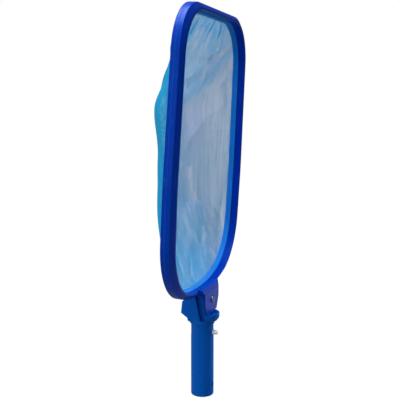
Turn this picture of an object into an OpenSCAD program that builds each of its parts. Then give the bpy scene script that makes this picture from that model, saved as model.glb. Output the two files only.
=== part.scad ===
// Leaf skimmer net: a two-part moulded frame grips a mesh bag, and a hollow handle
// with a spring button plugs into a telescopic pole.
// Origin: on the handle's axis, at the stop that the pole's end meets.
// +Z runs up to the net, -Y is the open front of the net, +X is to the right.

/* [Opening] */
// Half width of the opening at its top
top_half = 112.6; // [95:0.1:120]
// Half width of the opening where it is widest
mid_half = 120; // [110:0.1:130]
// Half width of the opening near its bottom
bottom_half = 115.2; // [105:0.1:128]
// Height of the opening's top edge
top_height = 327.6; // [300:0.1:345]
// Height at which the opening is widest
mid_height = 136.8; // [120:0.1:160]
// Height of the opening's bottom corners
bottom_rise = 18.5; // [12:0.5:26]
// Height of the corner point in the middle of the bottom edge, before it is rounded
tip_height = -6.8; // [-12:0.1:2]

/* [Outside of the frame] */
// Half width of the frame at its top
outer_top_half = 120.8; // [105:0.1:130]
// Half width of the frame where it is widest
outer_mid_half = 130.8; // [120:0.1:140]
// Half width of the frame near its bottom
outer_bottom_half = 130; // [115:0.1:138]
// Height of the frame's top edge
outer_top_height = 335.2; // [310:0.1:355]
// Height at which the frame is widest
outer_mid_height = 143; // [120:0.1:160]
// Height of the frame's bottom corners
outer_bottom_rise = 15.3; // [8:0.1:20]
// Height of the outer corner point in the middle of the bottom edge, before it is rounded
outer_tip_height = -15; // [-20:0.1:-8]

/* [Frame] */
// Width of the frame's section as drawn; it is stretched to fit between the two outlines
frame_width = 10.4; // [9:0.1:13]
// Depth of the frame's section, front to back
frame_depth = 14.4; // [13:0.1:16]
// Distance from the front crest back to the joint between the frame halves
seam_depth = 9.6; // [9:0.1:10]
// Forward lean of the frame, in degrees
lean = 3; // [0:0.5:6]
// Height of the opening's bottom edge above the stop
frame_rise = 46.5; // [44:0.1:50]
// Distance of the frame's front crest behind the handle's axis (negative is in front)
frame_back = -6.7; // [-8:0.1:-5]

/* [Net] */
// Depth of the bag behind the frame
bag_depth = 42; // [30:1:60]
// Thickness of the solid that stands for the mesh
bag_wall = 1.0; // [0.8:0.1:2]
// Height, up the opening, of the bag's deepest point
bag_centre = 195; // [150:5:230]

/* [Handle] */
// Outside radius of the part that slides into the pole
tube_r = 14.3; // [13:0.05:16]
// Wall thickness of the tube
tube_wall = 2.6; // [2:0.1:3.5]
// Length of the tube below the stop
tube_length = 93; // [80:1:120]
// Radius of the lower pin hole
pin_hole_r = 3.6; // [3:0.1:4]
// Height of the lower pin hole above the tube's end
pin_hole_rise = 13.5; // [10:0.5:16]

/* [Snap button] */
// Radius of the button
button_r = 2.92; // [2.5:0.01:3]
// Distance of the button below the stop
button_drop = 11; // [9:0.5:13]
// How far the button stands out of the tube
button_height = 6.4; // [5:0.1:7]

/* [Hidden] */
$fn = 64;
gap = 0.1;

// Corners of each outline, anticlockwise from the bottom middle: [x, height, radius]
inner_corners = [
    [0, tip_height, 263],
    [bottom_half, bottom_rise, 71],
    [mid_half, mid_height, 386],
    [top_half, top_height, 54.8],
    [-top_half, top_height, 54.8],
    [-mid_half, mid_height, 386],
    [-bottom_half, bottom_rise, 71]
];
outer_corners = [
    [0, outer_tip_height, 294],
    [outer_bottom_half, outer_bottom_rise, 78],
    [outer_mid_half, outer_mid_height, 320],
    [outer_top_half, outer_top_height, 54],
    [-outer_top_half, outer_top_height, 54],
    [-outer_mid_half, outer_mid_height, 320],
    [-outer_bottom_half, outer_bottom_rise, 78]
];
corner_count = len(inner_corners);
// Steps of the arc at each corner, the same in both outlines
arc_steps = [5, 11, 1, 12, 12, 1, 11];

// Neck: the plate on the front frame, and the saddle, core and lip on the handle
plate_y = -13.1;
plate_t = 4;
plate_half = 26;
plate_wing = 31;
plate_top = 50;
plate_fold = 42.5;
plate_bend = 30;
plate_foot = 15;
plate_foot_half = 17.5;
plate_back = plate_y + plate_t;
saddle_half = 14;
saddle_top = 38;
core_half = 8;
core_front = plate_back + gap;
collar_r = 15.4;
collar_top = 5;
lip_r = 16;
lip_y = -5.8;
lip_cut_y = -8;
tongue_half = 6;
tongue_front = 4.3;
tongue_back = 7.5;
tongue_foot = 20;

// Neck screw
screw_z = 31.4;
screw_r = 2;
screw_length = 14;
screw_head_r = 4.4;
screw_head_t = 2.6;

// Tube: slightly slimmer between the stop and the button
bore_r = tube_r - tube_wall;
bore_top = -5;
relief_r = tube_r - 0.2;
relief_length = 15.5;
end_round = 1.4;

// Spring clip
clip_t = 0.8;
clip_half = 3.5;
clip_arm_top = [-8.7, -5.8];
clip_arm_foot = [-2.6, -60];
clip_leg_foot = [1.8, -60];
clip_leg_top = [8.6, -22];
clip_bend_steps = 10;

// Button
button_dome = 2.4;
flange_r = 4.6;
flange_front = -10.3;
flange_t = 1.2;
stem_r = 1.4;
stem_length = 1.7;
stem_head_r = 2.4;
stem_head_t = 0.8;

// Angle of the outward normal of the straight edge that leaves corner i
function edge_normal(corners, i) =
    let (a = corners[i], b = corners[(i + 1) % corner_count])
    atan2(b[1] - a[1], b[0] - a[0]) - 90;

// Points of the arc at corner i
function corner_arc(corners, i) =
    let (
        from = edge_normal(corners, (i + corner_count - 1) % corner_count),
        turn = (edge_normal(corners, i) - from + 720) % 360,
        c = corners[i],
        reach = c[2] / cos(turn / 2),
        middle = from + turn / 2,
        centre = [c[0] - reach * cos(middle), c[1] - reach * sin(middle)],
        steps = arc_steps[i]
    )
    [for (k = [0:steps])
        centre + c[2] * [cos(from + turn * k / steps), sin(from + turn * k / steps)]];

inner_edge = [for (i = [0:corner_count - 1]) each corner_arc(inner_corners, i)];
outer_edge = [for (i = [0:corner_count - 1]) each corner_arc(outer_corners, i)];

// The outline at a place across the section: 0 is the opening's edge, frame_width the outside
function outline(out) =
    let (share = out / frame_width)
    [for (j = [0:len(inner_edge) - 1]) inner_edge[j] * (1 - share) + outer_edge[j] * share];

// Faces of a closed tube of quads: rows around the outline, each with m points
function sweep_faces(n, m) =
    [for (j = [0:n - 1], k = [0:m - 1])
        let (j2 = (j + 1) % n, k2 = (k + 1) % m)
        [j * m + k, j2 * m + k, j2 * m + k2, j * m + k2]];

// Move from the frame's own plane to the object's axes
module frame_place() {
    translate([0, frame_back, frame_rise]) rotate([lean, 0, 0]) children();
}

// Sweep a section once round the opening; section points are [outwards, backwards]
module frame_sweep(section) {
    rings = [for (p = section) outline(p[0])];
    n = len(rings[0]);
    m = len(section);
    points = [for (j = [0:n - 1], k = [0:m - 1]) [rings[k][j][0], section[k][1], rings[k][j][1]]];
    frame_place() polyhedron(points, sweep_faces(n, m));
}

// Extrude a profile drawn in Y and Z across X, centred
module across(half) {
    rotate([90, 0, 90]) translate([0, 0, -half]) linear_extrude(2 * half) children();
}

module y_cylinder(r, from_y, to_y, z) {
    translate([0, from_y, z]) rotate([-90, 0, 0]) cylinder(r = r, h = to_y - from_y);
}

// Plate below the front frame: flat around the screw, folded back to meet the frame
module plate() {
    fold_front = plate_y + 2.6;
    intersection() {
        rotate([90, 0, 0]) linear_extrude(-2 * plate_y) polygon([
            [-plate_foot_half, plate_foot], [plate_foot_half, plate_foot],
            [plate_half, plate_bend], [plate_half, plate_fold], [plate_wing, plate_top],
            [-plate_wing, plate_top], [-plate_half, plate_fold], [-plate_half, plate_bend]
        ]);
        across(plate_wing + 1) polygon([
            [plate_y, plate_foot - 1], [plate_back, plate_foot - 1],
            [plate_back, plate_fold - 5.5], [-3, plate_fold + 0.5], [-4.5, plate_top],
            [fold_front, plate_top], [plate_y, plate_fold]
        ]);
    }
}

// Front half of the frame: an open channel with a plate below it for the screw
module front_frame() {
    wall = 1.8;
    crest = [1.4, 3];
    bevel = 4.2;
    floor_y = wall + 0.8;
    mate = seam_depth - gap;
    color("mediumblue") difference() {
        union() {
            frame_sweep([
                [0, 1], [crest[0], 0], [crest[1], 0], [frame_width, bevel], [frame_width, mate],
                [frame_width - wall, mate], [frame_width - wall, bevel + 1.4],
                [crest[1] + 0.6, floor_y], [wall, floor_y], [wall, mate], [0, mate]
            ]);
            plate();
        }
        y_cylinder(screw_r + 0.2, plate_y - 1, core_front + 1, screw_z);
    }
}

// Back half of the frame: a flat bar with a locating rib and a tongue for the handle
module rear_frame() {
    mate = seam_depth + gap;
    rib_in = frame_width - 3.2;
    rib_out = frame_width - 2;
    color("mediumblue") union() {
        frame_sweep([
            [0, mate + 0.3], [rib_in, mate + 0.3], [rib_in, mate - 2.2], [rib_out, mate - 2.2],
            [rib_out, mate], [frame_width, mate], [frame_width, frame_depth - 1],
            [frame_width - 1, frame_depth], [1, frame_depth], [0, frame_depth - 1]
        ]);
        translate([-tongue_half, tongue_front, tongue_foot])
            cube([2 * tongue_half, tongue_back - tongue_front, frame_rise - tongue_foot]);
    }
}

// Woven tape sewn to the net's mouth: a flange between the frame halves and a band behind
module net_binding() {
    flange = [seam_depth, seam_depth + 0.3];
    color("deepskyblue") frame_sweep([
        [-1, flange[0]], [6, flange[0]], [6, flange[1]], [-0.3, flange[1]],
        [-0.3, frame_depth + 2.3], [-1, frame_depth + 2.3]
    ]);
}

// Cord in the tape's edge that keeps it from pulling out of the frame
module net_cord() {
    cord_r = 1.25;
    cord_u = 3.6;
    cord_y = seam_depth - cord_r - gap;
    color("white") frame_sweep([for (a = [0:45:315]) [cord_u + cord_r * cos(a), cord_y + cord_r * sin(a)]]);
}

// Mesh bag: a shell that is open at the front and closed at its deepest point
module net_bag() {
    rim_y = frame_depth + 2.5;
    scales = [1, 0.97, 0.93, 0.87, 0.78, 0.66, 0.5, 0.3, 0.08];
    rows = [
        for (k = scales) [k, 0, bag_depth * (1 - pow(k, 3))],
        for (i = [len(scales) - 1:-1:0])
            let (k = scales[i]) [k, -bag_wall, (bag_depth - bag_wall) * (1 - pow(k, 3))]
    ];
    rings = [for (row = rows) outline(-0.3 + row[1])];
    n = len(rings[0]);
    m = len(rows);
    points = [for (j = [0:n - 1], r = [0:m - 1]) [
        rings[r][j][0] * rows[r][0],
        rim_y + rows[r][2],
        bag_centre + (rings[r][j][1] - bag_centre) * rows[r][0]
    ]];
    last = len(scales) - 1;
    walls = [for (f = sweep_faces(n, m)) if (f[0] % m != last) f];
    caps = [
        [for (j = [0:n - 1]) j * m + last],
        [for (j = [n - 1:-1:0]) j * m + last + 1]
    ];
    color("lightskyblue") frame_place() polyhedron(points, concat(walls, caps));
}

// Body of revolution of the tube, with a rounded lower edge and a solid collar on top
module tube_body() {
    edge = 0.5;
    rotate_extrude() polygon([
        [0, -tube_length], [tube_r - end_round, -tube_length],
        for (a = [15:15:75]) [
            tube_r - end_round * (1 - sin(a)), -tube_length + end_round * (1 - cos(a))
        ],
        [tube_r, -tube_length + end_round], [tube_r, -relief_length],
        [relief_r, -relief_length], [relief_r, 0], [collar_r - edge, 0], [collar_r, edge],
        [collar_r, collar_top - 2 * edge], [collar_r - 2 * edge, collar_top], [0, collar_top]
    ]);
}

// Rounded lip in front of the collar, with a dish behind its rim
module lip() {
    foot = 3.6;
    dish = 11.6;
    rim = 14.6;
    intersection() {
        translate([0, lip_y, 0]) rotate_extrude() polygon([
            [0, foot], [lip_r - 4.4, foot], [lip_r - 2, foot + 2], [lip_r - 0.6, foot + 4.4],
            [lip_r, rim - 3.6], [lip_r - 0.2, rim - 1.2], [lip_r - 0.9, rim], [lip_r - 2, rim - 0.1],
            [lip_r - 4, dish + 0.4], [0, dish]
        ]);
        translate([-lip_r, -3 * lip_r, 0]) cube([2 * lip_r, 3 * lip_r + lip_cut_y, 20]);
    }
}

// Handle moulding: pole tube, collar, lip, core behind the plate and saddle under the frame
module handle() {
    color("royalblue") difference() {
        union() {
            tube_body();
            lip();
            across(core_half) polygon([
                [core_front, 2], [4, 2], [4, saddle_top], [-2, saddle_top], [core_front, 35]
            ]);
            across(saddle_half) polygon([
                [-2, 2], [9, 2], [15, 5.2], [15.2, 8.2], [23.4, 14], [21.9, 28.6],
                [12, saddle_top], [4.7, saddle_top], [-1.7, 4.8]
            ]);
        }
        translate([0, 0, -tube_length - 1]) cylinder(r = bore_r, h = tube_length + 1 + bore_top);
        y_cylinder(button_r + 0.08, -tube_r - 2, -bore_r + 3, -button_drop);
        y_cylinder(pin_hole_r, -tube_r - 2, -bore_r + 3, -tube_length + pin_hole_rise);
        y_cylinder(screw_r + 0.05, core_front - 1, plate_y + screw_length + 1, screw_z);
        translate([-tongue_half - gap, tongue_front - gap, tongue_foot - gap])
            cube([2 * (tongue_half + gap), tongue_back - tongue_front + 2 * gap, 30]);
    }
}

// Pan-head screw with a cross recess
module neck_screw() {
    recess = [3.8, 0.9];
    color("silver") difference() {
        translate([0, plate_y - gap / 2, screw_z]) rotate([90, 0, 0]) rotate_extrude() polygon([
            [0, -screw_length], [screw_r - 1.2, -screw_length], [screw_r, -screw_length + 2],
            [screw_r, 0], [screw_head_r, 0], [screw_head_r, 0.9], [screw_head_r - 0.5, 1.7],
            [screw_head_r - 1.6, 2.3], [screw_head_r - 3, screw_head_t], [0, screw_head_t]
        ]);
        for (size = [recess, [recess[1], recess[0]]])
            translate([-size[0] / 2, plate_y - 4, screw_z - size[1] / 2]) cube([size[0], 2.6, size[1]]);
    }
}

// Points along the clip: down the arm, round the bend and up the leg
function clip_path() =
    let (
        middle = (clip_arm_foot + clip_leg_foot) / 2,
        r = norm(clip_leg_foot - clip_arm_foot) / 2
    )
    [
        clip_arm_top,
        for (k = [0:clip_bend_steps])
            middle + r * [-cos(180 * k / clip_bend_steps), -sin(180 * k / clip_bend_steps)],
        clip_leg_top
    ];

// Unit normal of a path at point i, from its neighbours
function path_normal(path, i) =
    let (
        d = path[min(i + 1, len(path) - 1)] - path[max(i - 1, 0)],
        u = d / norm(d)
    )
    [-u[1], u[0]];

// V-shaped strip spring: its arm carries the button and its leg rests on the bore
module clip_spring() {
    path = clip_path();
    last = len(path) - 1;
    color("gainsboro") difference() {
        across(clip_half) polygon([
            for (i = [0:last]) path[i] + path_normal(path, i) * clip_t / 2,
            for (i = [last:-1:0]) path[i] - path_normal(path, i) * clip_t / 2
        ]);
        y_cylinder(stem_r + 0.3, -12, -4, -button_drop);
    }
}

// Spring button: domed pin, flange inside the tube and headed stem through the clip
module snap_button() {
    tip = tube_r + button_height;
    seat = -flange_front - flange_t;
    head = seat - stem_length;
    color("white") translate([0, 0, -button_drop]) rotate([90, 0, 0]) rotate_extrude() polygon([
        [0, head - stem_head_t], [stem_head_r, head - stem_head_t],
        [stem_head_r, head], [stem_r, head], [stem_r, seat],
        [flange_r, seat], [flange_r, -flange_front], [button_r, -flange_front],
        [button_r, tip - button_dome],
        for (a = [15:15:75]) [button_r * cos(a), tip - button_dome * (1 - sin(a))],
        [0, tip]
    ]);
}

front_frame();
rear_frame();
net_bag();
net_binding();
net_cord();
handle();
neck_screw();
clip_spring();
snap_button();
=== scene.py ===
"""Leaf skimmer net: the looks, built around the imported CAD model."""
import math

import bmesh
import bpy
from mathutils import Matrix, Vector, noise


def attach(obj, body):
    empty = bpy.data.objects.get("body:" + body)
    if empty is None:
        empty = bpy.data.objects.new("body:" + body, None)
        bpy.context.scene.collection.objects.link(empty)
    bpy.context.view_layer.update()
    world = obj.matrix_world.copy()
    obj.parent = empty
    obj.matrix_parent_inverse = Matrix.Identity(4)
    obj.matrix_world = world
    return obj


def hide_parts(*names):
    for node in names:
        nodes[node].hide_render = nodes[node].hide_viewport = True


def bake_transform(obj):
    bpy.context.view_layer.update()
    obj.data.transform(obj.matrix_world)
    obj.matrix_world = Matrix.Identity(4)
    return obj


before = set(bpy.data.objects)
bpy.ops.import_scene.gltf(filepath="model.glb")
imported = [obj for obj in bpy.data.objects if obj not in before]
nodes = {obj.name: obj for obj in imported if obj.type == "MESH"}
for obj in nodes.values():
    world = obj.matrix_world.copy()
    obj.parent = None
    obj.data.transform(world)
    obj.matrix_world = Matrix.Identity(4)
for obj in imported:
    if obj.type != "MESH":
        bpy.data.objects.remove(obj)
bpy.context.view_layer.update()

# Sizes are in millimetres, and become metres where a mesh is made
MM = 0.001

# ---------------------------------------------------------------- dimensions, in millimetres

def mirrored(tip, right):
    """An outline's corners (x, height, radius) from its bottom middle and its right half."""
    return [tip] + right + [(-x, z, r) for x, z, r in reversed(right)]


# Corners of the opening and of the frame's outside, before they are rounded
OPENING_HEIGHT = 327.6
INNER_CORNERS = mirrored(
    (0, -6.8, 263),
    [(115.2, 18.5, 71), (120, 136.8, 386), (112.6, OPENING_HEIGHT, 54.8)],
)
OUTER_CORNERS = mirrored(
    (0, -15, 294),
    [(130, 15.3, 78), (130.8, 143, 320), (120.8, 335.2, 54)],
)
# Place of the frame, its section as drawn, and the joint between its halves
LEAN = math.radians(3)
FRAME_RISE = 46.5
FRAME_BACK = -6.7
FRAME_WIDTH = 10.4
FRAME_DEPTH = 14.4
SEAM = 9.6
GAP = 0.1
WALL = 1.8
SMALL_RADIUS = 0.35
RING_POINTS = 320

# Neck: screw plate, block behind it, collar, lip, tongue and screw
PLATE_FRONT, PLATE_BACK = -13.1, -9.1
PLATE_HALF, PLATE_WING, PLATE_TOP, PLATE_FOLD, PLATE_BEND = 26, 31, 50, 42.5, 30
PLATE_FOOT, PLATE_FOOT_HALF = 15, 17.5
SADDLE_HALF, SADDLE_TOP = 14, 38
CORE_HALF = 8
COLLAR_R, COLLAR_TOP = 15.4, 5
LIP_R, LIP_Y, LIP_CUT = 16, -5.8, -8
LIP_FOOT, LIP_DISH, LIP_RIM = 3.6, 11.6, 14.6
TONGUE_HALF, TONGUE_FRONT, TONGUE_BACK, TONGUE_FOOT = 6, 4.3, 7.5, 20
SCREW_Z, SCREW_R, SCREW_LENGTH = 31.4, 2, 14

# Tube, with a slimmer stretch above the button, its holes, the button and its clip
TUBE_R, TUBE_WALL, TUBE_LENGTH = 14.3, 2.6, 93
RELIEF_R, RELIEF_LENGTH = 14.1, 15.5
BORE_R, BORE_TOP = TUBE_R - TUBE_WALL, -5
PIN_HOLE_R, PIN_HOLE_Z = 3.6, -79.5
BUTTON_R, BUTTON_Z = 2.92, -11
CLIP_HALF, CLIP_T, CLIP_HOLE_R = 3.5, 0.8, 1.7
CLIP_ARM_TOP, CLIP_ARM_FOOT = (-8.7, -5.8), (-2.6, -60)
CLIP_LEG_FOOT, CLIP_LEG_TOP = (1.8, -60), (8.6, -22)

# Net: depth of the bag at shares of the opening's height, from the bottom up
BAG_DEPTHS = [(0, 28), (0.2, 38), (0.38, 41), (0.5, 43), (0.66, 51), (0.86, 27), (1, 20)]
BAG_CENTRE = 180
NET_THICKNESS = 0.35
BAND_FOOT = FRAME_DEPTH + 2.3


# ---------------------------------------------------------------- mesh helpers

def edge_points(corners):
    """The points of an outline: the same number of steps at each corner's arc."""
    steps = 24
    points = []
    for i, (cx, cz, r) in enumerate(corners):
        before, after = corners[i - 1], corners[(i + 1) % len(corners)]
        start = math.atan2(cz - before[1], cx - before[0]) - math.pi / 2
        end = math.atan2(after[1] - cz, after[0] - cx) - math.pi / 2
        turn = (end - start) % (2 * math.pi)
        reach = r / math.cos(turn / 2)
        ox = cx - reach * math.cos(start + turn / 2)
        oz = cz - reach * math.sin(start + turn / 2)
        for k in range(steps + 1):
            a = start + turn * k / steps
            points.append((ox + r * math.cos(a), oz + r * math.sin(a)))
    half = steps // 2
    return points[half:] + points[:half + 1]


def outline(count):
    """Evenly spaced points round the opening: x, height and the step outwards per millimetre."""
    raw = [
        (x, z, (ox - x) / FRAME_WIDTH, (oz - z) / FRAME_WIDTH)
        for (x, z), (ox, oz) in zip(edge_points(INNER_CORNERS), edge_points(OUTER_CORNERS))
    ]
    along = [0]
    for p, q in zip(raw, raw[1:]):
        along.append(along[-1] + math.dist(p[:2], q[:2]))
    points, j = [], 0
    for i in range(count):
        want = along[-1] * i / count
        while along[j + 1] < want:
            j += 1
        t = (want - along[j]) / max(along[j + 1] - along[j], 1e-9)
        points.append(tuple(a + (b - a) * t for a, b in zip(raw[j], raw[j + 1])))
    return points


def placed(x, y, height):
    """A point of the frame's own plane, in the object's axes."""
    c, s = math.cos(LEAN), math.sin(LEAN)
    return (x, FRAME_BACK + y * c - height * s, FRAME_RISE + y * s + height * c)


def rounded(corners, steps=4):
    """Closed polygon from corners (a, b, radius), each one rounded."""
    points = []
    for i, (a, b, r) in enumerate(corners):
        here = Vector((a, b))
        before = Vector(corners[i - 1][:2]) - here
        after = Vector(corners[(i + 1) % len(corners)][:2]) - here
        half = before.angle(after) / 2
        reach = min(r / math.tan(half), 0.48 * before.length, 0.48 * after.length)
        r = reach * math.tan(half)
        if r < 0.01:
            points.append((a, b))
            continue
        before, after = before.normalized(), after.normalized()
        centre = here + (before + after).normalized() * (r / math.sin(half))
        first = here + before * reach - centre
        last = here + after * reach - centre
        turn = math.atan2(first.cross(last), first.dot(last))
        for k in range(steps + 1):
            t = turn * k / steps
            c, s = math.cos(t), math.sin(t)
            points.append((
                centre.x + first.x * c - first.y * s,
                centre.y + first.x * s + first.y * c,
            ))
    return points


def make(name, points, faces):
    """A smooth-shaded mesh object from points in millimetres, with its normals outwards."""
    mesh = bpy.data.meshes.new(name)
    mesh.from_pydata([Vector(p) * MM for p in points], [], faces)
    bm = bmesh.new()
    bm.from_mesh(mesh)
    bmesh.ops.recalc_face_normals(bm, faces=bm.faces)
    bm.to_mesh(mesh)
    bm.free()
    obj = bpy.data.objects.new(name, mesh)
    bpy.context.scene.collection.objects.link(obj)
    mesh.shade_smooth()
    return obj


def tube_faces(rings, size, closed=True):
    """Quads between rings of the same size; closed joins the last ring to the first."""
    return [
        (i * size + k, ((i + 1) % rings) * size + k,
         ((i + 1) % rings) * size + (k + 1) % size, i * size + (k + 1) % size)
        for i in range(rings if closed else rings - 1)
        for k in range(size)
    ]


def sweep(name, section, count):
    """A section, as points (outwards, backwards), swept once round the opening."""
    points = [
        placed(x + nx * out, back, z + nz * out)
        for x, z, nx, nz in outline(count)
        for out, back in section
    ]
    return make(name, points, tube_faces(count, len(section)))


def lathe(name, profile, count=96):
    """A profile of points (radius, z) turned round the z axis; its ends are on the axis."""
    body = profile[1:-1]
    points = []
    for i in range(count):
        a = 2 * math.pi * i / count
        points += [(r * math.cos(a), r * math.sin(a), z) for r, z in body]
    size = len(body)
    faces = [
        (i * size + k, ((i + 1) % count) * size + k,
         ((i + 1) % count) * size + k + 1, i * size + k + 1)
        for i in range(count)
        for k in range(size - 1)
    ]
    first, last = len(points), len(points) + 1
    points += [(0, 0, profile[0][1]), (0, 0, profile[-1][1])]
    for i in range(count):
        j = (i + 1) % count
        faces.append((first, j * size, i * size))
        faces.append((last, i * size + size - 1, j * size + size - 1))
    return make(name, points, faces)


def prism(name, polygon, low, high, axis, edge=0):
    """A polygon extruded along x or y, with its long edges rounded by edge."""
    def point(a, b, w):
        return (w, a, b) if axis == "x" else (a, w, b)
    size = len(polygon)
    points = [point(a, b, low) for a, b in polygon] + [point(a, b, high) for a, b in polygon]
    faces = [tuple(range(size)), tuple(range(2 * size - 1, size - 1, -1))]
    faces += [(k, (k + 1) % size, size + (k + 1) % size, size + k) for k in range(size)]
    obj = make(name, points, faces)
    if edge:
        bm = bmesh.new()
        bm.from_mesh(obj.data)
        caps = [f for f in bm.faces if len(f.verts) == size]
        rim = list({e for f in caps for e in f.edges})
        bmesh.ops.bevel(
            bm, geom=rim, offset=edge * MM, segments=3, profile=0.5, affect="EDGES",
            clamp_overlap=True,
        )
        bm.to_mesh(obj.data)
        bm.free()
        obj.data.shade_smooth()
    return obj


def rod(name, r, low, high, z):
    """A cylinder along y on the middle plane, at a height, for cutting holes."""
    count = 48
    turn = 2 * math.pi / count
    polygon = [(r * math.cos(turn * k), z + r * math.sin(turn * k)) for k in range(count)]
    return prism(name, polygon, low, high, "y")


def bake(obj):
    """Put an object's modifiers into its mesh."""
    bpy.context.view_layer.update()
    depsgraph = bpy.context.evaluated_depsgraph_get()
    mesh = bpy.data.meshes.new_from_object(obj.evaluated_get(depsgraph))
    obj.modifiers.clear()
    obj.data = mesh


def combine(obj, others, operation):
    """Join other objects to this one (UNION), cut them out of it (DIFFERENCE), or keep
    only what it shares with them (INTERSECT). The others are used up."""
    for other in others:
        step = obj.modifiers.new("combine", "BOOLEAN")
        step.operation = operation
        step.solver = "EXACT"
        step.object = other
    bake(obj)
    for other in others:
        bpy.data.objects.remove(other)


def soften(obj, width):
    """Round an object's sharp edges by a width in millimetres."""
    step = obj.modifiers.new("soften", "BEVEL")
    step.width = width * MM
    step.segments = 3
    step.limit_method = "ANGLE"
    step.angle_limit = math.radians(40)
    bake(obj)


def finish_mesh(obj, angle=32):
    """Merge points within 0.01 mm and shade smooth, with sharp creases above an angle."""
    bm = bmesh.new()
    bm.from_mesh(obj.data)
    bmesh.ops.remove_doubles(bm, verts=bm.verts, dist=0.01 * MM)
    bmesh.ops.dissolve_degenerate(bm, edges=bm.edges, dist=0.005 * MM)
    bm.to_mesh(obj.data)
    bm.free()
    obj.data.shade_smooth()
    obj.data.set_sharp_from_angle(angle=math.radians(angle))
    obj.modifiers.new("normals", "WEIGHTED_NORMAL").keep_sharp = True


# ---------------------------------------------------------------- materials

class Nodes:
    """Short names for building one material's node tree."""

    def __init__(self, name):
        self.material = bpy.data.materials.new(name)
        self.material.use_nodes = True
        self.tree = self.material.node_tree
        self.bsdf = self.tree.nodes["Principled BSDF"]
        self.out = self.tree.nodes["Material Output"]
        self.place = self.add("ShaderNodeTexCoord").outputs["Object"]

    def add(self, kind, **settings):
        """A new node with some of its settings."""
        made = self.tree.nodes.new(kind)
        for key, value in settings.items():
            setattr(made, key, value)
        return made

    def link(self, source, target):
        """Join an output to an input."""
        self.tree.links.new(source, target)

    def feed(self, socket, value):
        """Give an input a value or another node's output."""
        if isinstance(value, bpy.types.NodeSocket):
            self.link(value, socket)
        else:
            socket.default_value = value

    def surface(self, name, value):
        """Set or link one input of the surface shader."""
        self.feed(self.bsdf.inputs[name], value)

    def finish(self, shader):
        """Use another shader in place of the plain surface."""
        self.link(shader, self.out.inputs["Surface"])

    def math(self, operation, a, b=0.0, clamp=False):
        """One sum on two values or outputs; clamp keeps it from 0 to 1."""
        made = self.add("ShaderNodeMath", operation=operation, use_clamp=clamp)
        self.feed(made.inputs[0], a)
        self.feed(made.inputs[1], b)
        return made.outputs[0]

    def dot(self, a, b):
        """How far two directions agree."""
        made = self.add("ShaderNodeVectorMath", operation="DOT_PRODUCT")
        self.link(a, made.inputs[0])
        self.link(b, made.inputs[1])
        return made.outputs["Value"]

    def blend(self, factor, a, b):
        """Shader a where factor is 0, shader b where it is 1."""
        made = self.add("ShaderNodeMixShader")
        self.feed(made.inputs[0], factor)
        self.link(a, made.inputs[1])
        self.link(b, made.inputs[2])
        return made.outputs[0]

    def scaled(self, x, y, z):
        """Object coordinates multiplied by one factor for each axis."""
        made = self.add("ShaderNodeMapping")
        self.link(self.place, made.inputs["Vector"])
        made.inputs["Scale"].default_value = (x, y, z)
        return made.outputs["Vector"]

    def noise(self, scale, detail=3.0, vector=None):
        """Smooth noise from 0 to 1, by default over the object's coordinates."""
        made = self.add("ShaderNodeTexNoise")
        self.link(vector or self.place, made.inputs["Vector"])
        made.inputs["Scale"].default_value = scale
        made.inputs["Detail"].default_value = detail
        return made.outputs["Fac"]

    def ramp(self, value, low, high):
        """Maps 0..1 to low..high."""
        made = self.add("ShaderNodeMapRange")
        self.link(value, made.inputs["Value"])
        made.inputs["To Min"].default_value = low
        made.inputs["To Max"].default_value = high
        return made.outputs["Result"]

    def mix(self, factor, a, b):
        """Colour a where factor is 0, colour b where it is 1."""
        made = self.add("ShaderNodeMix", data_type="RGBA")
        self.feed(made.inputs["Factor"], factor)
        self.feed(made.inputs[6], a)
        self.feed(made.inputs[7], b)
        return made.outputs[2]

    def bump(self, height, strength, distance):
        """Relief on the surface, with its depth in millimetres."""
        made = self.add("ShaderNodeBump")
        self.link(height, made.inputs["Height"])
        made.inputs["Strength"].default_value = strength
        made.inputs["Distance"].default_value = distance * MM
        self.surface("Normal", made.outputs["Normal"])

    def edges(self, radius):
        """About 1 within a radius in millimetres of an edge, 0 on flat faces."""
        soft = self.add("ShaderNodeBevel", samples=4)
        soft.inputs["Radius"].default_value = radius * MM
        hard = self.add("ShaderNodeNewGeometry")
        made = self.add("ShaderNodeMapRange")
        self.link(self.dot(soft.outputs["Normal"], hard.outputs["Normal"]), made.inputs["Value"])
        made.inputs["From Min"].default_value = 0.995
        made.inputs["From Max"].default_value = 0.85
        return made.outputs["Result"]


def moulded_plastic(name, colour, edge_wear_and_highlight_colour, rough):
    """Glossy moulded plastic: faint flow marks, fine grain, and paler edges that are partly wear and
    partly painted highlight.
    """
    n = Nodes(name)
    flow = n.noise(22, 4, n.scaled(1, 1, 0.35))
    shade = n.mix(
        n.ramp(flow, 0.0, 0.5),
        (colour[0], colour[1] * 0.9, colour[2] * 0.93, 1),
        (colour[0], colour[1] * 1.14, colour[2] * 1.08, 1),
    )
    # Painted highlight: edges are painted paler, partly as wear and partly as a highlight along the
    # rounded edges
    rubbed_and_highlit_edges = n.math("MULTIPLY", n.edges(1.1), n.ramp(n.noise(160, 5), 0.55, 1.25), clamp=True)
    scratch_noise = n.noise(1, 2, n.scaled(900, 900, 30))
    scratches = n.math("MULTIPLY", n.math("GREATER_THAN", scratch_noise, 0.7), 0.35)
    pale = n.math("MAXIMUM", rubbed_and_highlit_edges, scratches)
    n.surface("Base Color", n.mix(pale, shade, (*edge_wear_and_highlight_colour, 1)))
    grain = n.noise(1800, 2)
    scuffs = n.noise(420, 6, n.scaled(1, 1, 0.12))
    worn = n.math("ADD", n.ramp(scuffs, rough - 0.07, rough + 0.09), n.math("MULTIPLY", rubbed_and_highlit_edges, 0.1))
    n.surface("Roughness", worn)
    n.surface("Specular IOR Level", 0.25)
    n.surface("Specular Tint", (0.22, 0.5, 1, 1))
    n.bump(n.math("ADD", n.math("MULTIPLY", grain, 0.3), scuffs), 0.12, 0.12)
    return n.material


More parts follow.
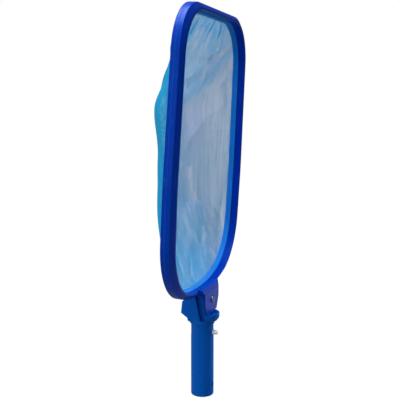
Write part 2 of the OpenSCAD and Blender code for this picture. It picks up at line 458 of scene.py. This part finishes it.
def net_weave(name, thread, shadow, shade_tint):
    """Fine open net: crossed threads that close up when seen from the side.

    The threads tint the light that makes the net's shadow by shade_tint."""
    n = Nodes(name)
    pitch = 1.1 * MM
    thread_share = 0.26
    see_through = 0.3
    parts = n.add("ShaderNodeSeparateXYZ")
    warp = n.add("ShaderNodeVectorMath", operation="ADD")
    n.link(n.place, warp.inputs[0])
    wander = n.add("ShaderNodeTexNoise")
    n.link(n.place, wander.inputs["Vector"])
    wander.inputs["Scale"].default_value = 35
    shift = n.add("ShaderNodeVectorMath", operation="SCALE")
    n.link(wander.outputs["Color"], shift.inputs[0])
    shift.inputs["Scale"].default_value = 0.004
    n.link(shift.outputs[0], warp.inputs[1])
    n.link(warp.outputs[0], parts.inputs[0])
    geometry = n.add("ShaderNodeNewGeometry")
    facing = n.math("ABSOLUTE", n.dot(geometry.outputs["Normal"], geometry.outputs["Incoming"]))
    facing = n.math("MAXIMUM", facing, 0.12)
    streaks = n.noise(1, 3, n.scaled(520, 60, 9))
    share = n.math("MULTIPLY", n.ramp(streaks, thread_share * 0.72, thread_share * 1.35), 0.5)
    width = n.math("DIVIDE", share, n.math("SQRT", facing))
    from_threads = []
    for axis in ("X", "Z"):
        cycle = n.math("FRACT", n.math("DIVIDE", parts.outputs[axis], pitch))
        from_threads.append(n.math("ABSOLUTE", n.math("SUBTRACT", cycle, 0.5)))
    covered = n.math("MAXIMUM", *[n.math("LESS_THAN", away, width) for away in from_threads])
    relief = n.math("MINIMUM", *from_threads)
    cloudy = n.ramp(n.noise(26, 3), 0.0, 1.0)
    n.surface("Base Color", n.mix(cloudy, (*shadow, 1), (*thread, 1)))
    n.surface("Roughness", 0.55)
    n.surface("Specular IOR Level", 0.25)
    n.bump(n.math("SUBTRACT", 0.5, relief), 0.25, 0.2)
    glow = n.add("ShaderNodeBsdfTranslucent")
    glow.inputs["Color"].default_value = (*thread, 1)
    fibre = n.blend(see_through, n.bsdf.outputs[0], glow.outputs[0])
    tinted = n.add("ShaderNodeBsdfTransparent")
    tinted.inputs["Color"].default_value = (*shade_tint, 1)
    ray = n.add("ShaderNodeLightPath")
    lit_through = n.blend(ray.outputs["Is Shadow Ray"], fibre, tinted.outputs[0])
    clear = n.add("ShaderNodeBsdfTransparent")
    n.finish(n.blend(covered, clear.outputs[0], lit_through))
    return n.material


def woven(name, colour, pale, pitch):
    """Tape, thread or cord: fine crossed ribs with small changes of colour."""
    n = Nodes(name)
    rough = 0.6
    waves = []
    for vector in (n.scaled(1, 1, 1), n.scaled(1, -1, -1)):
        wave = n.add("ShaderNodeTexWave", wave_type="BANDS", bands_direction="DIAGONAL")
        n.link(vector, wave.inputs["Vector"])
        wave.inputs["Scale"].default_value = 0.3 / (pitch * MM)
        waves.append(wave.outputs["Fac"])
    ribs = n.math("MULTIPLY", waves[0], waves[1])
    tone = n.math("MULTIPLY", ribs, n.ramp(n.noise(90, 4), 0.3, 1.0))
    n.surface("Base Color", n.mix(tone, (*colour, 1), (*pale, 1)))
    n.surface("Roughness", n.ramp(n.noise(300, 3), rough - 0.1, rough + 0.15))
    n.surface("Sheen Weight", 0.2)
    n.surface("Specular IOR Level", 0.25)
    n.bump(ribs, 0.35, 0.3)
    return n.material


def metal(name, colour, rough, stretch):
    """Plated or rolled steel with fine marks, drawn out by stretch, and a little staining."""
    n = Nodes(name)
    marks = n.noise(260, 5, n.scaled(*stretch))
    stain = n.ramp(n.noise(300, 4), 0.0, 0.5)
    n.surface("Base Color", n.mix(stain, (*colour, 1), (*STAIN, 1)))
    n.surface("Metallic", 1)
    n.surface("Roughness", n.ramp(marks, rough - 0.08, rough + 0.14))
    n.bump(marks, 0.15, 0.1)
    return n.material


def nylon(name, colour):
    """Translucent white nylon with slight wear on its tip."""
    n = Nodes(name)
    dirt = n.math("MULTIPLY", n.edges(0.3), n.ramp(n.noise(500, 4), 0.0, 0.3))
    n.surface("Base Color", n.mix(dirt, (*colour, 1), (*DIRT, 1)))
    n.surface("Roughness", n.ramp(n.noise(700, 4), 0.3, 0.5))
    n.surface("Subsurface Weight", 0.2)
    n.surface("Subsurface Radius", (0.002, 0.002, 0.002))
    n.surface("Subsurface Scale", 1.0)
    n.bump(n.noise(1500, 2), 0.1, 0.1)
    return n.material


# Each colour, and the paler or darker one that it varies towards; the plastics' paler edge colours are
# partly wear and partly painted highlight, and NET_SHADE is what the net lets through in its shadow
FRAME_BLUE, FRAME_EDGE_WEAR_AND_HIGHLIGHT = (0.0, 0.036, 0.42), (0.01, 0.2, 0.9)
HANDLE_BLUE, HANDLE_EDGE_WEAR_AND_HIGHLIGHT = (0.0, 0.1, 0.5), (0.0, 0.15, 0.55)
NET_BLUE, NET_DARK, NET_SHADE = (0.0, 0.47, 0.8), (0.0, 0.38, 0.67), (0.08, 0.62, 0.95)
TAPE_BLUE, TAPE_PALE = (0.0, 0.24, 0.72), (0.005, 0.34, 0.9)
THREAD_BLUE, THREAD_PALE = (0.06, 0.3, 0.7), (0.2, 0.45, 0.8)
CORD_GREY, CORD_PALE = (0.5, 0.56, 0.62), (0.8, 0.84, 0.88)
# The screw's steel grey is tinted blue as a painted reflection of the blue plastic round it
SCREW_GREY_AND_REFLECTED_BLUE, CLIP_GREY = (0.34, 0.4, 0.52), (0.62, 0.63, 0.65)
BUTTON_WHITE = (0.93, 0.94, 0.96)
STAIN, DIRT = (0.35, 0.33, 0.3), (0.5, 0.52, 0.55)

frame_plastic = moulded_plastic("frame_plastic", FRAME_BLUE, FRAME_EDGE_WEAR_AND_HIGHLIGHT, rough=0.3)
handle_plastic = moulded_plastic("handle_plastic", HANDLE_BLUE, HANDLE_EDGE_WEAR_AND_HIGHLIGHT, rough=0.42)
net_cloth = net_weave("net_weave", NET_BLUE, NET_DARK, NET_SHADE)
tape_cloth = woven("binding_tape", TAPE_BLUE, TAPE_PALE, pitch=0.6)
stitch_thread = woven("stitch_thread", THREAD_BLUE, THREAD_PALE, pitch=0.3)
cord_cloth = woven("cord_braid", CORD_GREY, CORD_PALE, pitch=0.8)
screw_steel = metal("screw_steel", SCREW_GREY_AND_REFLECTED_BLUE, rough=0.26, stretch=(1, 1, 1))
clip_steel = metal("clip_steel", CLIP_GREY, rough=0.32, stretch=(1, 1, 0.08))
button_nylon = nylon("button_nylon", BUTTON_WHITE)


def dress(obj, material):
    """Give an object one material in place of its own."""
    obj.data.materials.clear()
    obj.data.materials.append(material)


def add_piece(obj, material, slot, *replaced):
    """Give a piece of the skimmer its material, attach it to the skimmer's body, and hide the CAD nodes
    it stands for.
    """
    dress(obj, material)
    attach(obj, "skimmer")
    if replaced:
        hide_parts(*replaced)


# ---------------------------------------------------------------- frame halves

# Sections are points (outwards, backwards, radius)
CREST, BEVEL_BACK, CEILING = 3.2, 4.2, 2.6
FRONT_FOOT = SEAM - GAP
INNER_WALL = FRAME_WIDTH - WALL
front_section = rounded([
    (0, 0, 1.5), (CREST, 0, 3.5), (FRAME_WIDTH, BEVEL_BACK, 1.1), (FRAME_WIDTH, FRONT_FOOT, SMALL_RADIUS),
    (INNER_WALL, FRONT_FOOT, 0.2), (INNER_WALL, 5.6, 0.5), (3.6, CEILING, 0.5),
    (WALL, CEILING, 0.4), (WALL, FRONT_FOOT, 0.2), (0, FRONT_FOOT, SMALL_RADIUS),
])
front_frame = sweep("front_frame_shell", front_section, RING_POINTS)

# The plate is its front outline (x, height) cut by its folded side outline (y, height)
plate = prism("plate", rounded([
    (-PLATE_FOOT_HALF, PLATE_FOOT, 2.5), (PLATE_FOOT_HALF, PLATE_FOOT, 2.5),
    (PLATE_HALF, PLATE_BEND, 9), (PLATE_HALF, PLATE_FOLD, 4), (PLATE_WING, PLATE_TOP, 0.5),
    (-PLATE_WING, PLATE_TOP, 0.5), (-PLATE_HALF, PLATE_FOLD, 4), (-PLATE_HALF, PLATE_BEND, 9),
], steps=6), 2 * PLATE_FRONT, 0, "y")
below_foot = PLATE_FOOT - 1
fold = prism("fold", rounded([
    (PLATE_FRONT, below_foot, 0), (PLATE_BACK, below_foot, 0), (PLATE_BACK, PLATE_FOLD - 5.5, 3),
    (-3, PLATE_FOLD + 0.5, 0.5), (-4.5, PLATE_TOP, 0.3), (PLATE_FRONT + 2.6, PLATE_TOP, 0.3),
    (PLATE_FRONT, PLATE_FOLD, 3),
], steps=6), -PLATE_WING - 1, PLATE_WING + 1, "x")
combine(plate, [fold], "INTERSECT")
soften(plate, width=0.6)
combine(front_frame, [plate], "UNION")
plate_hole = rod("hole", SCREW_R + 0.2, PLATE_FRONT - 1, PLATE_BACK + 2, SCREW_Z)
combine(front_frame, [plate_hole], "DIFFERENCE")
finish_mesh(front_frame)
add_piece(front_frame, frame_plastic, "frame_plastic", "front_frame")

# The rear half has a lap that stands up inside the front half's outer wall
REAR_FRONT = SEAM + GAP
LAP_INNER, LAP_OUTER = FRAME_WIDTH - 3.2, FRAME_WIDTH - 2
LAP_FRONT = REAR_FRONT - 2.2
rear_section = rounded([
    (0, REAR_FRONT + 0.3, SMALL_RADIUS), (LAP_INNER, REAR_FRONT + 0.3, 0.2), (LAP_INNER, LAP_FRONT, 0.2),
    (LAP_OUTER, LAP_FRONT, 0.2), (LAP_OUTER, REAR_FRONT, 0.15), (FRAME_WIDTH, REAR_FRONT, SMALL_RADIUS),
    (FRAME_WIDTH, FRAME_DEPTH, 1.3), (0, FRAME_DEPTH, 1.3),
])
rear_frame = sweep("rear_frame_shell", rear_section, RING_POINTS)
tongue = prism("tongue", [
    (-TONGUE_HALF, TONGUE_FOOT), (TONGUE_HALF, TONGUE_FOOT),
    (TONGUE_HALF, FRAME_RISE), (-TONGUE_HALF, FRAME_RISE),
], TONGUE_FRONT, TONGUE_BACK, "y", edge=0.5)
combine(rear_frame, [tongue], "UNION")
finish_mesh(rear_frame)
add_piece(rear_frame, frame_plastic, "frame_plastic", "rear_frame")


# ---------------------------------------------------------------- handle

def tube_body():
    """Tube with a rounded foot, up through the stop and the collar."""
    edge = 1.4
    quarter = [math.radians(15 * k) for k in range(7)]
    foot = [(TUBE_R + edge * (math.sin(a) - 1), -TUBE_LENGTH + edge * (1 - math.cos(a))) for a in quarter]
    profile = [(0, -TUBE_LENGTH)] + foot + [
        (TUBE_R, -RELIEF_LENGTH - 0.4), (RELIEF_R, -RELIEF_LENGTH), (RELIEF_R, -0.2), (RELIEF_R + 0.2, 0),
        (COLLAR_R - 0.5, 0), (COLLAR_R, 0.5), (COLLAR_R, COLLAR_TOP - 1.2),
        (COLLAR_R - 0.35, COLLAR_TOP - 0.35), (COLLAR_R - 1.2, COLLAR_TOP), (0, COLLAR_TOP),
    ]
    return lathe("handle_shell", profile)


def lip_body():
    """Rounded lip with a shallow dish, cut flat where it meets the collar."""
    profile = rounded([
        (0, LIP_FOOT, 0), (LIP_R - 3.6, LIP_FOOT, 3), (LIP_R - 0.2, LIP_FOOT + 4.6, 4),
        (LIP_R + 0.1, LIP_RIM, 1.1), (LIP_R - 2.2, LIP_RIM, 0.9), (LIP_R - 4.4, LIP_DISH, 1.6),
        (0, LIP_DISH, 0),
    ])
    disc = lathe("lip", profile)
    disc.data.transform(Matrix.Translation((0, LIP_Y * MM, 0)))
    cutter = prism("cutter", [(-20, 0), (20, 0), (20, 20), (-20, 20)], LIP_CUT, 20, "y")
    combine(disc, [cutter], "DIFFERENCE")
    return disc


handle = tube_body()

# Core under the plate and block behind it: side outlines of (y, height, radius)
core = prism("core", rounded([
    (PLATE_BACK + GAP, 2, 0.3), (4, 2, 0.3), (4, SADDLE_TOP, 0.5), (-2, SADDLE_TOP, 0.5),
    (PLATE_BACK + GAP, SADDLE_TOP - 3, 0.6),
]), -CORE_HALF, CORE_HALF, "x", edge=0.6)
saddle = prism("saddle", rounded([
    (-2, 2, 0.5), (9, 2, 1), (15, 5.2, 1.2), (15.2, 8.2, 1.2), (23.6, 14, 1.4),
    (22.1, 28.6, 2.5), (12, SADDLE_TOP, 1), (4.9, SADDLE_TOP, 0.8), (-1.7, 4.8, 1.5),
], steps=5), -SADDLE_HALF, SADDLE_HALF, "x", edge=1.1)
combine(handle, [lip_body(), core, saddle], "UNION")
bore = lathe("bore", [
    (0, -TUBE_LENGTH - 2), (BORE_R + 2.6, -TUBE_LENGTH - 2), (BORE_R + 0.7, -TUBE_LENGTH),
    (BORE_R, -TUBE_LENGTH + 0.7), (BORE_R, BORE_TOP - 1), (BORE_R - 1, BORE_TOP), (0, BORE_TOP),
])
slot_half = TONGUE_HALF + GAP
slot_foot, above_saddle = TONGUE_FOOT - GAP, FRAME_RISE + 10
tongue_slot = prism("slot", [
    (-slot_half, slot_foot), (slot_half, slot_foot),
    (slot_half, above_saddle), (-slot_half, above_saddle),
], TONGUE_FRONT - GAP, TONGUE_BACK + GAP, "y")
hole_from, hole_to = -TUBE_R - 2, -BORE_R + 3
combine(handle, [
    bore,
    rod("button_hole", BUTTON_R + 0.08, hole_from, hole_to, BUTTON_Z),
    rod("pin_hole", PIN_HOLE_R, hole_from, hole_to, PIN_HOLE_Z),
    rod("screw_hole", SCREW_R + 0.05, PLATE_BACK - 1, PLATE_FRONT + SCREW_LENGTH + 1, SCREW_Z),
    tongue_slot,
], "DIFFERENCE")
finish_mesh(handle)
add_piece(handle, handle_plastic, "handle_plastic", "handle")


# ---------------------------------------------------------------- screw, button and clip

def pan_screw():
    """Pan-head screw along y, with a tapered cross recess."""
    head_r, head_t, head_side, crown = 4.4, 2.6, 0.8, 3
    pitch, root_r = 1.1, SCREW_R - 0.35
    profile = [(0, -SCREW_LENGTH), (0.5, -SCREW_LENGTH + 0.4), (root_r, -SCREW_LENGTH + 3)]
    crest_z = -SCREW_LENGTH + 3.4
    while crest_z < -1.6:
        profile += [(SCREW_R, crest_z), (root_r, crest_z + pitch / 2)]
        crest_z += pitch
    profile += [(SCREW_R, -1), (SCREW_R, 0)]
    profile += [(head_r - 0.15, 0), (head_r, 0.15), (head_r, head_side)]
    for k in range(1, 7):
        a = math.radians(15 * k)
        rise = (head_t - head_side) * math.sin(a)
        profile.append((head_r - crown + crown * math.cos(a), head_side + rise))
    profile.append((0, head_t))
    screw = lathe("neck_screw_cross", profile, count=64)
    slots = []
    recess_faces = [(0, 1, 2, 3), (7, 6, 5, 4)]
    recess_faces += [(k, (k + 1) % 4, 4 + (k + 1) % 4, 4 + k) for k in range(4)]
    for crosswise in (False, True):
        corners = []
        for long_side, thin_side, z in ((1.95, 0.45, head_t + 0.5), (1.1, 0.3, 0.3)):
            w, d = (long_side, thin_side) if crosswise else (thin_side, long_side)
            corners += [(-w, -d, z), (w, -d, z), (w, d, z), (-w, d, z)]
        slots.append(make("recess", corners, recess_faces))
    combine(screw, slots, "DIFFERENCE")
    for v in screw.data.vertices:
        x, y, z = v.co
        v.co = (x, PLATE_FRONT * MM - z, SCREW_Z * MM + y)
    finish_mesh(screw, 40)
    return screw


add_piece(pan_screw(), screw_steel, "screw_steel", "neck_screw")


def strip(name, path):
    """Spring strip: a flat ribbon with rounded long edges along a path in y and z."""
    section = rounded([
        (-CLIP_HALF, -CLIP_T / 2, 0.3), (CLIP_HALF, -CLIP_T / 2, 0.3),
        (CLIP_HALF, CLIP_T / 2, 0.3), (-CLIP_HALF, CLIP_T / 2, 0.3),
    ], 3)
    points = []
    for i, here in enumerate(path):
        before, after = Vector(path[max(i - 1, 0)]), Vector(path[min(i + 1, len(path) - 1)])
        d = (after - before).normalized()
        normal = Vector((-d.y, d.x))
        points += [(a, here[0] + normal.x * b, here[1] + normal.y * b) for a, b in section]
    size = len(section)
    faces = tube_faces(len(path), size, closed=False)
    faces += [tuple(range(size)), tuple(range(len(points) - size, len(points)))]
    return make(name, points, faces)


def between(a, b, count):
    """Evenly spaced points of a straight line."""
    return [
        (a[0] + (b[0] - a[0]) * k / count, a[1] + (b[1] - a[1]) * k / count)
        for k in range(count + 1)
    ]


bend_r = math.dist(CLIP_ARM_FOOT, CLIP_LEG_FOOT) / 2
bend_y = (CLIP_ARM_FOOT[0] + CLIP_LEG_FOOT[0]) / 2
bend_steps = 12
bend = []
for k in range(bend_steps + 1):
    a = math.pi * k / bend_steps
    bend.append((bend_y - bend_r * math.cos(a), CLIP_ARM_FOOT[1] - bend_r * math.sin(a)))
clip_arm = strip("clip_arm", between(CLIP_ARM_TOP, CLIP_ARM_FOOT, 24))
combine(clip_arm, [rod("stem_hole", CLIP_HOLE_R, -12, -4, BUTTON_Z)], "DIFFERENCE")
clip_leg = strip("clip_leg", bend[:-1] + between(CLIP_LEG_FOOT, CLIP_LEG_TOP, 16))
for clip in (clip_arm, clip_leg):
    finish_mesh(clip, 40)
    dress(clip, clip_steel)
    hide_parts("clip_spring")
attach(clip_leg, "skimmer")
bake(clip_arm)
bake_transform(clip_arm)

dress(nodes["snap_button"], button_nylon)
nodes["snap_button"].data.shade_smooth()
nodes["snap_button"].data.set_sharp_from_angle(angle=math.radians(35))
dress(nodes["net_cord"], cord_cloth)


# ---------------------------------------------------------------- binding tape and stitches

# The tape is a flange between the frame halves and a band behind, just inside the opening
BAND_INNER, BAND_OUTER, FLANGE_OUT = -1, -0.3, 6
flange_back = SEAM + 0.3
band_section = rounded([
    (BAND_INNER, SEAM, 0.2), (FLANGE_OUT, SEAM, 0.1), (FLANGE_OUT, flange_back, 0.1),
    (BAND_OUTER, flange_back, 0.15), (BAND_OUTER, BAND_FOOT, 0.3), (BAND_INNER, BAND_FOOT, 0.3),
], steps=3)
tape = sweep("binding_tape", band_section, RING_POINTS)
finish_mesh(tape, 50)
add_piece(tape, tape_cloth, "binding_tape", "net_binding")


def stitches(name, count, out, back):
    """A row of short, slanted and raised stitches round the tape's inner face."""
    half_length, thread_r, arch, slant = 1.1, 0.32, 0.3, 0.35
    rings, sides = 5, 6
    points, faces = [], []
    for x, z, nx, nz in outline(count):
        size = math.hypot(nx, nz)
        tx, tz = -nz / size, nx / size
        base = len(points)
        for i in range(rings):
            t = (i / (rings - 1) - 0.5) * 2
            swell = thread_r * math.sqrt(max(1 - t * t, 0.04))
            for k in range(sides):
                a = 2 * math.pi * k / sides
                rise = out + arch - swell * math.cos(a) - arch * (1 - t * t)
                points.append(placed(
                    x + nx * rise + tx * t * half_length,
                    back + swell * math.sin(a) + slant * t,
                    z + nz * rise + tz * t * half_length,
                ))
        faces += [tuple(base + v for v in f) for f in tube_faces(rings, sides, closed=False)]
        faces += [
            tuple(base + k for k in range(sides)),
            tuple(base + (rings - 1) * sides + k for k in range(sides)),
        ]
    return make(name, points, faces)


seam_stitches = stitches("tape_stitches", count=330, out=BAND_INNER, back=SEAM + 5.6)
add_piece(seam_stitches, stitch_thread, "binding_tape")


# ---------------------------------------------------------------- mesh bag

def bag_depth(share):
    """Depth of the bag at a share of the opening's height, smoothly between the stated ones."""
    for (a, da), (b, db) in zip(BAG_DEPTHS, BAG_DEPTHS[1:]):
        if share <= b:
            t = max(0, (share - a) / (b - a))
            return da + (db - da) * t * t * (3 - 2 * t)
    return BAG_DEPTHS[-1][1]


# Folds in the cloth: start and end as (x, height), half width, and how far they stand in
FOLDS = [
    ((104, 302), (66, 268), 3, 4),
    ((-70, 318), (-40, 262), 6, 2.2),
    ((104, 225), (40, 165), 9, 3.5),
    ((-35, 200), (-38, 120), 8, 2.5),
    ((86, 18), (72, 62), 2.5, 4),
    ((34, 6), (80, 52), 2.5, 4),
    ((-16, 4), (14, 40), 2.5, 4),
    ((-72, 14), (-36, 70), 3, 3.5),
]


def fold_push(x, height):
    """How far the folds bring a point of the bag forwards; each fades towards its end."""
    here = Vector((x, height))
    total = 0
    for start, end, half_width, rise in FOLDS:
        a, b = Vector(start), Vector(end)
        along = b - a
        t = max(0, min(1, (here - a).dot(along) / along.length_squared))
        wobble = 3 * noise.noise(Vector((height * 0.03, x * 0.03, rise)))
        away = (here - a - along * t).length + wobble * t
        fade = 1 - 0.6 * t * t
        total += rise * fade * math.exp(-abs(away) / half_width) * min(1, 8 * (1 - t) + 0.2)
    return total


def net_sheet():
    """The bag as a sheet of rings, from its sewn rim to its deepest point."""
    count, rings = 240, 34
    rim_back, rim_out = BAND_FOOT - 0.5, -0.65
    slack_size, gather_size = 3, 1.1
    points = []
    rim = outline(count)
    for i in range(rings):
        k = 1 - i / rings
        for x, z, nx, nz in rim:
            px = (x + nx * rim_out) * k
            pz = BAG_CENTRE + (z + nz * rim_out - BAG_CENTRE) * k
            swell = 1 - k ** 2.6
            depth = bag_depth(pz / OPENING_HEIGHT) * swell
            slack = noise.noise(Vector((px * 0.016, pz * 0.01, 3.1))) * slack_size * swell
            gather = noise.noise(Vector((px * 0.05, pz * 0.012, 7))) * gather_size * swell
            push = fold_push(px, pz) * min(1, (1 - k) * 9)
            points.append(placed(px, rim_back + depth + slack + gather - push, pz))
    faces = tube_faces(rings, count, closed=False)
    last, centre = (rings - 1) * count, len(points)
    depth = bag_depth(BAG_CENTRE / OPENING_HEIGHT) - fold_push(0, BAG_CENTRE)
    points.append(placed(0, rim_back + depth, BAG_CENTRE))
    faces += [(last + k, last + (k + 1) % count, centre) for k in range(count)]
    return make("net_bag_cloth", points, faces), count


def relax(sheet, pinned):
    """Let the sheet hang as cloth from its pinned rim, and keep how it settles."""
    last_frame = 16
    limit = 2.5 * MM
    group = sheet.vertex_groups.new(name="rim")
    group.add(list(range(pinned)), 1, "REPLACE")
    step = sheet.modifiers.new("cloth", "CLOTH")
    settings = step.settings
    settings.quality = 6
    settings.mass = 0.05
    settings.tension_stiffness = 12
    settings.compression_stiffness = 6
    settings.shear_stiffness = 4
    settings.bending_stiffness = 0.02
    settings.air_damping = 2
    settings.vertex_group_mass = "rim"
    settings.shrink_min = -0.015
    settings.effector_weights.gravity = 0.02
    before = [v.co.copy() for v in sheet.data.vertices]
    step.point_cache.frame_start = 1
    step.point_cache.frame_end = last_frame
    for number in range(1, last_frame + 1):
        bpy.context.scene.frame_set(number)
    bake(sheet)
    bpy.context.scene.frame_set(1)
    for v, old in zip(sheet.data.vertices, before):
        moved = v.co - old
        if moved.length > limit:
            v.co = old + moved.normalized() * limit
    sheet.vertex_groups.clear()


bag, rim_count = net_sheet()
relax(bag, rim_count)
thick = bag.modifiers.new("thickness", "SOLIDIFY")
thick.thickness = NET_THICKNESS * MM
thick.offset = 0
smooth = bag.modifiers.new("smooth", "SUBSURF")
smooth.levels = 1
smooth.render_levels = 1
bake(bag)
bag.data.shade_smooth()
add_piece(bag, net_cloth, "mesh", "net_bag")


# ---------------------------------------------------------------- stage, light and camera

CAMERA_AZIMUTH = math.radians(-71.22)
CAMERA_DISTANCE = 851.2
CAMERA_HEIGHT = 272.4
CAMERA_YAW = math.radians(-0.2)
CAMERA_PITCH = math.radians(7.835)
CAMERA_LENS = 63

scene = bpy.context.scene
scene.view_settings.view_transform = "Standard"
scene.view_settings.look = "None"

away = Vector((-math.sin(CAMERA_AZIMUTH), math.cos(CAMERA_AZIMUTH), 0))
right = Vector((math.cos(CAMERA_AZIMUTH), math.sin(CAMERA_AZIMUTH), 0))
up = Vector((0, 0, 1))
level = away * math.cos(CAMERA_YAW) + right * math.sin(CAMERA_YAW)
look = level * math.cos(CAMERA_PITCH) - up * math.sin(CAMERA_PITCH)
camera_data = bpy.data.cameras.new("camera")
camera_data.lens = CAMERA_LENS
camera_data.sensor_width = 36
camera_data.clip_start = 0.01
camera = bpy.data.objects.new("camera", camera_data)
camera.location = (-away * CAMERA_DISTANCE + up * CAMERA_HEIGHT) * MM
camera.rotation_mode = "QUATERNION"
camera.rotation_quaternion = look.to_track_quat("-Z", "Y")
scene.collection.objects.link(camera)
scene.camera = camera


def floor_material():
    """Pale floor: white to the camera, and only modest in reflections and as a light source."""
    n = Nodes("pale_floor")
    n.surface("Base Color", (0.2, 0.2, 0.2, 1))
    n.surface("Roughness", 0.8)
    n.surface("Specular IOR Level", 0.1)
    glow = n.add("ShaderNodeEmission")
    glow.inputs["Strength"].default_value = 1.04
    seen = n.add("ShaderNodeLightPath")
    parts = n.add("ShaderNodeSeparateXYZ")
    n.link(n.place, parts.inputs[0])
    far_side = n.add("ShaderNodeMapRange")
    n.link(parts.outputs["X"], far_side.inputs["Value"])
    far_side.inputs["From Min"].default_value = 0.15
    far_side.inputs["From Max"].default_value = 0.45
    far_side.inputs["To Max"].default_value = 0.2
    seen_share = n.math("MULTIPLY", seen.outputs["Is Camera Ray"], 0.97)
    mirrored_share = n.math("MULTIPLY", seen.outputs["Is Glossy Ray"], far_side.outputs["Result"])
    share = n.math("MAXIMUM", seen_share, mirrored_share)
    n.finish(n.blend(share, n.bsdf.outputs[0], glow.outputs[0]))
    return n.material


FLOOR_Z, FLOOR_HALF = -TUBE_LENGTH - 0.5, 9000
floor_corners = [
    (x * FLOOR_HALF, y * FLOOR_HALF, FLOOR_Z) for x, y in ((-1, -1), (1, -1), (1, 1), (-1, 1))
]
floor = make("floor", floor_corners, [(0, 1, 2, 3)])
dress(floor, floor_material())


def studio_world():
    """White to the camera; as light, brightest to the left and behind, dim on the far side."""
    world = bpy.data.worlds.new("studio")
    world.use_nodes = True
    scene.world = world
    tree = world.node_tree
    background = tree.nodes["Background"]
    place = tree.nodes.new("ShaderNodeTexCoord")
    leftward = tree.nodes.new("ShaderNodeVectorMath")
    leftward.operation = "DOT_PRODUCT"
    tree.links.new(place.outputs["Generated"], leftward.inputs[0])
    leftward.inputs[1].default_value = Vector((-0.7, 0.6, 0.35)).normalized()
    fall = tree.nodes.new("ShaderNodeMapRange")
    tree.links.new(leftward.outputs["Value"], fall.inputs["Value"])
    fall.inputs["From Min"].default_value = -0.2
    fall.inputs["From Max"].default_value = 0.8
    fall.inputs["To Min"].default_value = 0.06
    fall.inputs["To Max"].default_value = 0.7
    seen = tree.nodes.new("ShaderNodeLightPath")
    strength = tree.nodes.new("ShaderNodeMix")
    tree.links.new(seen.outputs["Is Camera Ray"], strength.inputs["Factor"])
    tree.links.new(fall.outputs["Result"], strength.inputs[2])
    strength.inputs[3].default_value = 1.0
    tree.links.new(strength.outputs[0], background.inputs["Strength"])
    background.inputs["Color"].default_value = (1, 1, 1, 1)


def softbox(name, place, aim, size, power, spread=180):
    """A soft square light at a place, pointed at another, in millimetres and degrees."""
    data = bpy.data.lights.new(name, "AREA")
    data.size = size * MM
    data.energy = power
    data.spread = math.radians(spread)
    lamp = bpy.data.objects.new(name, data)
    lamp.location = Vector(place) * MM
    lamp.rotation_mode = "QUATERNION"
    lamp.rotation_quaternion = (Vector(aim) - Vector(place)).to_track_quat("-Z", "Y")
    scene.collection.objects.link(lamp)
    lamp.visible_camera = False
    return lamp


studio_world()
MIDDLE, BELOW = (0, 0, 180), (0, 0, -300)
softbox("top_light", (-150, 50, 1450), MIDDLE, size=1000, power=22)
left_light = softbox("left_light", (-1700, 650, 700), MIDDLE, size=2400, power=13)
low_light = softbox("low_right_light", (1000, -750, -20), BELOW, size=600, power=1.8, spread=38)

# These two light the object without showing in its reflections
for lamp in (left_light, low_light):
    lamp.visible_glossy = False
